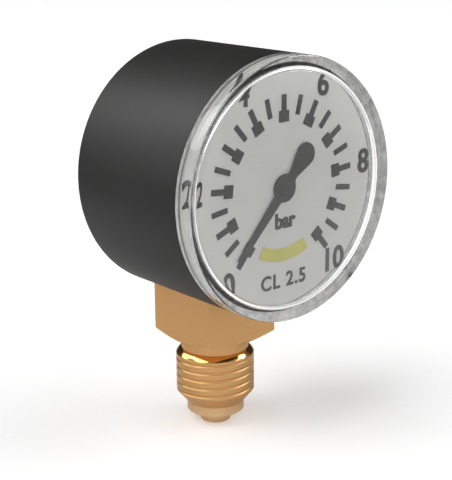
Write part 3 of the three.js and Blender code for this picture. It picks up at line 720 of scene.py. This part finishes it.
def plate_from_outline(name, outline, front, back, edge):
    """A plate cut to an outline of (x, z) points about the dial's centre, with soft edges."""
    curve = bpy.data.curves.new(name, "CURVE")
    curve.dimensions = "2D"
    curve.fill_mode = "BOTH"
    curve.extrude = (back - front) / 2 - edge
    curve.bevel_depth = edge
    curve.bevel_resolution = 2
    spline = curve.splines.new("POLY")
    spline.points.add(len(outline) - 1)
    for point, (x, z) in zip(spline.points, outline):
        point.co = (x, z, 0, 1)
    spline.use_cyclic_u = True
    curve.offset = -edge
    added(name, curve)
    bpy.ops.object.convert(target="MESH")
    piece = bpy.context.object
    piece.data.transform(Matrix.Rotation(pi / 2, 4, "X"))
    piece.data.transform(Matrix.Translation((0, (front + back) / 2, dial_centre)))
    bpy.ops.object.mode_set(mode="EDIT")
    merge_and_face_out()
    bpy.ops.object.mode_set(mode="OBJECT")
    return piece


def arc_points(radius, start, end, steps):
    return [(radius * cos(radians(start + (end - start) * i / steps)),
             radius * sin(radians(start + (end - start) * i / steps))) for i in range(steps + 1)]


band = plate_from_outline(
    "colour_band",
    arc_points(band_outer, band_from, band_to, 48) + arc_points(band_inner, band_to, band_from, 48),
    print_front, print_back, band_edge)
smooth(band)
band_green = new_material("band_green", (0.40, 0.39, 0.07), Specular_IOR_Level=0.4)
add_grain(band_green, ((0.40, 0.385, 0.065), (0.45, 0.435, 0.085)),
          grain_scale=3800, patch_scale=300, roughness=0.5, change=0.1, depth=0.004 * MM)
band.data.materials.append(band_green)
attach(band, "gauge_body")

# ---------------------------------------------------------------------------
# Pointer: stamped from thin sheet and painted dark, with a tapered needle, a
# round hub and a counterweight on a waisted neck. A bush with a low cap
# holds it on the arbor.
# ---------------------------------------------------------------------------
needle_low, needle_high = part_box("pointer_needle")
pointer_rest = 227.5
needle_length = 13.3 * MM
root_width, tip_width = 1.65 * MM, 0.85 * MM
hub_radius = 2.15 * MM
neck_place, neck_half = 2.75 * MM, 0.87 * MM
bulb_place, bulb_radius = 6.25 * MM, 1.83 * MM
hub_end_angle = radians(146)
neck_easing = 0.35 * MM


def pointer_side():
    """Upper half of the pointer's outline, from the needle's tip to the counterweight's end."""
    leave_hub = asin(root_width / 2 / hub_radius)
    points = [(needle_length, 0), (needle_length, tip_width / 2)]
    for i in range(17):
        angle = leave_hub + (hub_end_angle - leave_hub) * i / 16
        points.append((hub_radius * cos(angle), hub_radius * sin(angle)))
    start = Vector(points[-1])
    neck = Vector((-neck_place, neck_half))
    to_neck = hypot(bulb_place - neck_place, neck_half)
    bulb_from = atan2(neck_half, bulb_place - neck_place) + acos(bulb_radius / to_neck)
    end = Vector((-bulb_place + bulb_radius * cos(bulb_from), bulb_radius * sin(bulb_from)))
    leave = start + Vector((sin(hub_end_angle), -cos(hub_end_angle))) * -neck_easing
    arrive = neck + (neck - end).normalized() * neck_easing
    for i in range(1, 9):
        t = i / 9
        points.append(tuple((1 - t) ** 3 * start + 3 * (1 - t) ** 2 * t * leave
                            + 3 * (1 - t) * t ** 2 * arrive + t ** 3 * neck))
    points.extend(tuple(neck.lerp(end, i / 4)) for i in range(4))
    for i in range(17):
        angle = bulb_from + (pi - bulb_from) * i / 16
        points.append((-bulb_place + bulb_radius * cos(angle), bulb_radius * sin(angle)))
    return points


upper = pointer_side()
outline = upper + [(x, -z) for x, z in reversed(upper[1:-1])]
needle = plate_from_outline("pointer_needle_fine", outline, needle_low.y, needle_high.y, 0.04 * MM)
needle.data.transform(about_dial(pointer_rest + 90))
smooth(needle)
needle.data.materials.append(print_dark)
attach(needle, "pointer")
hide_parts("pointer_needle")

bush_low, bush_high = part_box("pointer_bush")
cap_radius = bush_high.x
cap_back = needle_low.y - 0.05 * MM
cap_height = cap_back - bush_low.y
bush_radius, bush_bore, cap_thickness = 0.9 * MM, 0.55 * MM, 0.2 * MM
bush = spin_outline("pointer_bush_fine", [
    *[(cap_radius * sin(radians(a)), cap_back - cap_height * cos(radians(a))) for a in range(0, 91, 9)],
    (bush_radius, cap_back),
    (bush_radius, bush_high.y),
    (bush_bore, bush_high.y),
    (bush_bore, bush_low.y + cap_thickness),
    (0, bush_low.y + cap_thickness),
], axis_point, steps=64)
smooth(bush)
bush.data.materials.append(print_dark)
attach(bush, "pointer")
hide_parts("pointer_bush")

# ---------------------------------------------------------------------------
# Connection: one brass piece, milled from square bar and turned below it to
# a relief neck, a male thread with a polished run-in, a pilot and a spigot.
# Inside the case it carries the tube and the movement.
# ---------------------------------------------------------------------------
block_bottom = 12.7 * MM
block_chamfer_start = 6.0 * MM
block_chamfer_rise = 0.2867
neck_radius = 5.55 * MM
thread_radius = 6.48 * MM
thread_top = 10.04 * MM
thread_neck = 11.02 * MM
thread_low = 3.65 * MM
thread_pitch = 1.337 * MM
thread_depth = 0.15 * MM
groove_share = 0.46
pilot_radius, pilot_top = 4.75 * MM, 1.55 * MM
spigot_radius, spigot_end = 2.5 * MM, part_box("socket")[0].z
fine_edge = 0.12 * MM
spigot_edge = 0.2 * MM
neck_fillet = 0.25 * MM
thread_row = 0.06 * MM
crown_rise, crown_steps = 0.2 * MM, 12
run_out_steps = 24
channel_radius = 1.0 * MM
restrictor_radius, restrictor_seat = 1.4 * MM, 3.9 * MM
block_split = 22.6 * MM


def thread_outline():
    """The turned part's outline of (radius, height), from the spigot's end up into the block."""
    rows = int((thread_top - thread_low) / thread_row)
    barrel = [(thread_radius, thread_low + (thread_top - thread_low) * i / rows)
              for i in range(rows + 1)]
    crown = []
    for share in (i / crown_steps for i in range(1, crown_steps)):
        bulge = crown_rise * share * (1 - share)
        crown.append((neck_radius + (thread_radius - neck_radius) * (1 - share) + bulge,
                      thread_top + (thread_neck - thread_top) * share + bulge))
    run_out = [(pilot_radius + (thread_radius - pilot_radius) * i / run_out_steps,
                pilot_top + (thread_low - pilot_top) * i / run_out_steps)
               for i in range(run_out_steps)]
    return [
        (0, spigot_end),
        *rounded_corner((spigot_radius - spigot_edge, spigot_end + spigot_edge), spigot_edge, 270, 360, 4),
        (spigot_radius, 0),
        *rounded_corner((pilot_radius - fine_edge, fine_edge), fine_edge, 270, 360, 3),
        *run_out,
        *barrel,
        *crown,
        (neck_radius, thread_neck),
        (neck_radius, block_bottom - neck_fillet),
        *rounded_corner((neck_radius + neck_fillet, block_bottom - neck_fillet), neck_fillet, 180, 90, 4),
        (neck_radius + 0.4 * MM, block_bottom + 0.5 * MM),
        (0, block_bottom + 0.5 * MM),
    ]


stem = spin_outline("connection", thread_outline(), (0, 0, 0), upright=True, steps=160)

# The thread's groove runs up the barrel as a right-hand helix. It fades out below the run-in
# and leaves the barrel through the cone under the thread.
for vertex in stem.data.vertices:
    radius = hypot(vertex.co.x, vertex.co.y)
    height = vertex.co.z
    if radius < pilot_radius + 0.1 * MM or not pilot_top < height < thread_top:
        continue
    angle = atan2(vertex.co.y, vertex.co.x)
    phase = (height / thread_pitch - angle / (2 * pi)) % 1.0
    from_groove = abs(phase - 0.5) / (groove_share / 2)
    if from_groove >= 1:
        continue
    fade = min(1.0, max(0.0, (thread_top - 0.15 * MM - height) / (0.35 * MM)))
    depth = thread_depth * fade * (0.5 + 0.5 * cos(pi * from_groove)) ** 0.8
    target = max(radius - depth, min(radius, thread_radius - thread_depth))
    vertex.co.x *= target / radius
    vertex.co.y *= target / radius

bar = box_between("bar", (-block_half, -block_half, block_bottom),
                  (block_half, block_half, block_split))
bevel_edges(bar, 0.06 * MM, 2)
corner = block_half * 1.5
cone = spin_outline("cone", [
    (0, block_bottom - MM),
    (block_chamfer_start, block_bottom - MM),
    (block_chamfer_start, block_bottom),
    (corner, block_bottom + (corner - block_chamfer_start) * block_chamfer_rise),
    (corner, block_split + MM),
    (0, block_split + MM),
], (0, 0, 0), upright=True, steps=160)
combine(bar, cone, "INTERSECT")
combine(stem, bar, "UNION")


cut_upright(stem, "channel", channel_radius, spigot_end - MM, block_split + MM)
cut_upright(stem, "restrictor_seat", restrictor_radius, spigot_end - MM, spigot_end + restrictor_seat)


def copy_of_cad(node, name):
    """A loose copy of a CAD piece with its own mesh, its corners merged."""
    twin = frame["nodes"][node].copy()
    twin.data = twin.data.copy()
    twin.name = name
    twin.parent = None
    for key in list(twin.keys()):
        del twin[key]
    bpy.context.scene.collection.objects.link(twin)
    pick(twin)
    bpy.ops.object.mode_set(mode="EDIT")
    bpy.ops.mesh.select_all(action="SELECT")
    bpy.ops.mesh.remove_doubles(threshold=0.001 * MM)
    bpy.ops.object.mode_set(mode="OBJECT")
    return twin


# The part inside the case is the CAD's own, from the block's split upwards.
upper_part = copy_of_cad("socket", "connection_upper")
bpy.ops.object.mode_set(mode="EDIT")
bpy.ops.mesh.bisect(plane_co=(0, 0, block_split), plane_no=(0, 0, 1), use_fill=True, clear_inner=True)
bpy.ops.object.mode_set(mode="OBJECT")

milled_brass = new_material("milled_brass", (0.80, 0.46, 0.195), Metallic=1.0)
add_grain(milled_brass, ((0.785, 0.45, 0.190), (0.815, 0.47, 0.200)),
          grain_scale=3000, patch_scale=120, roughness=0.46, change=0.05, depth=0.0015 * MM)
turned_brass = new_material("turned_brass", (0.78, 0.445, 0.185), Metallic=1.0)
add_grain(turned_brass, ((0.765, 0.435, 0.178), (0.80, 0.455, 0.192)),
          grain_scale=2600, patch_scale=140, roughness=0.31, change=0.05, depth=0.001 * MM)
polished_brass = new_material("polished_brass", (0.80, 0.43, 0.15), Metallic=1.0)
add_grain(polished_brass, ((0.785, 0.42, 0.145), (0.815, 0.44, 0.155)),
          grain_scale=1200, patch_scale=100, roughness=0.09, change=0.03, depth=0.0003 * MM)
# Paler brass for the pilot and the spigot: painted light, standing in for the bright floor that the lowest
# part reflects.
brass_painted_light = new_material("brass_painted_light", (0.95, 0.66, 0.38), Metallic=1.0)
add_grain(brass_painted_light, ((0.93, 0.65, 0.37), (0.97, 0.675, 0.39)),
          grain_scale=2600, patch_scale=140, roughness=0.42, change=0.05, depth=0.001 * MM)
for part in (stem, upper_part):
    part.data.materials.clear()
    for material in (milled_brass, turned_brass, polished_brass, brass_painted_light):
        part.data.materials.append(material)
milled, turned, polished, painted_light = range(4)
# Each face's finish is set by its height and radius. The pilot and the spigot take the paler brass, a
# painted reflection of the floor.
for face in stem.data.polygons:
    height = face.center.z
    radius = hypot(face.center.x, face.center.y)
    if thread_top < height < thread_neck and radius > neck_radius:
        face.material_index = polished
    elif pilot_top < height <= thread_top and radius > pilot_radius:
        face.material_index = turned
    elif height <= pilot_top and radius > restrictor_radius + 0.1 * MM:
        face.material_index = painted_light
    else:
        face.material_index = milled
connection = joined("connection", [stem, upper_part])
smooth(connection, 24)
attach(connection, "gauge_body")
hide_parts("socket")

# ---------------------------------------------------------------------------
# Case screws: slotted steel screws sunk in the case's back, which hold the
# connection's block against the wall.
# ---------------------------------------------------------------------------
screw_head_radius, screw_head_height = 1.7 * MM, 0.7 * MM
screw_slot_width, screw_slot_depth = 0.45 * MM, 0.35 * MM
screw_radius = 0.9 * MM
screw_point, screw_edge = 0.2 * MM, 0.25 * MM

bright_steel = new_material("bright_steel", (0.52, 0.53, 0.54), Metallic=1.0)
add_grain(bright_steel, ((0.50, 0.51, 0.52), (0.56, 0.57, 0.58)),
          grain_scale=3000, patch_scale=400, roughness=0.3, change=0.1, depth=0.001 * MM)


def make_case_screw(name, node):
    low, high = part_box(node)
    x, z = (low.x + high.x) / 2, (low.z + high.z) / 2
    screw = spin_outline(name, [
        (0, low.y),
        (screw_radius - screw_point, low.y),
        (screw_radius, low.y + screw_point),
        (screw_radius, high.y - screw_head_height),
        (screw_head_radius, high.y - screw_head_height),
        *rounded_corner((screw_head_radius - screw_edge, high.y - screw_edge), screw_edge, 0, 90, 5),
        (0, high.y),
    ], (x, 0, z), steps=64)
    slot = box_between(
        "slot", (x - 2 * MM, high.y - screw_slot_depth, z - screw_slot_width / 2),
        (x + 2 * MM, high.y + MM, z + screw_slot_width / 2))
    combine(screw, slot, "DIFFERENCE")
    smooth(screw)
    screw.data.materials.append(bright_steel)
    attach(screw, "gauge_body")
    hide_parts(node)


make_case_screw("case_screw_fine_left", "case_screw_left")
make_case_screw("case_screw_fine_right", "case_screw_right")

# ---------------------------------------------------------------------------
# Movement: stamped brass plates, pillars, gear and link, turned steel arbors
# and screws, and the drawn bronze hairspring, all behind the dial.
# ---------------------------------------------------------------------------
stamped_brass = new_material("stamped_brass", (0.66, 0.45, 0.18), Metallic=1.0)
add_grain(stamped_brass, ((0.63, 0.42, 0.16), (0.70, 0.49, 0.20)),
          grain_scale=2400, patch_scale=220, roughness=0.3, change=0.1, depth=0.001 * MM)
drawn_bronze = new_material("drawn_bronze", (0.58, 0.34, 0.15), Metallic=1.0)
add_grain(drawn_bronze, ((0.55, 0.31, 0.13), (0.62, 0.38, 0.17)),
          grain_scale=1800, patch_scale=160, roughness=0.28, change=0.12, depth=0.001 * MM)

finish_of_slot = {"movement_brass": stamped_brass, "tube_bronze": drawn_bronze,
                  "steel": bright_steel, "connection_brass": milled_brass}
replaced = {"case", "window", "dial", "pointer_needle", "pointer_bush", "socket",
            "bourdon_tube", "case_screw_left", "case_screw_right"}
for entry in frame["record"]["subparts"]:
    if entry["node"] not in replaced:
        materials = frame["nodes"][entry["node"]].data.materials
        materials.clear()
        materials.append(finish_of_slot[entry["material_slot"]])

# ---------------------------------------------------------------------------
# Bourdon tube: a flattened bronze tube curved round the movement, brazed into
# the connection at its root. Pressure opens its curve and lifts its tip.
# ---------------------------------------------------------------------------
tube = copy_of_cad("bourdon_tube", "bourdon_tube_fine")
smooth(tube, 40)

tube_bronze = new_material("tube_bronze_drawn", (0.66, 0.42, 0.24), Metallic=1.0)
add_grain(tube_bronze, ((0.63, 0.40, 0.225), (0.69, 0.44, 0.255)),
          grain_scale=2800, patch_scale=130, roughness=0.34, change=0.08, depth=0.001 * MM)
tube.data.materials.clear()
tube.data.materials.append(tube_bronze)
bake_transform(tube)
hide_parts("bourdon_tube")
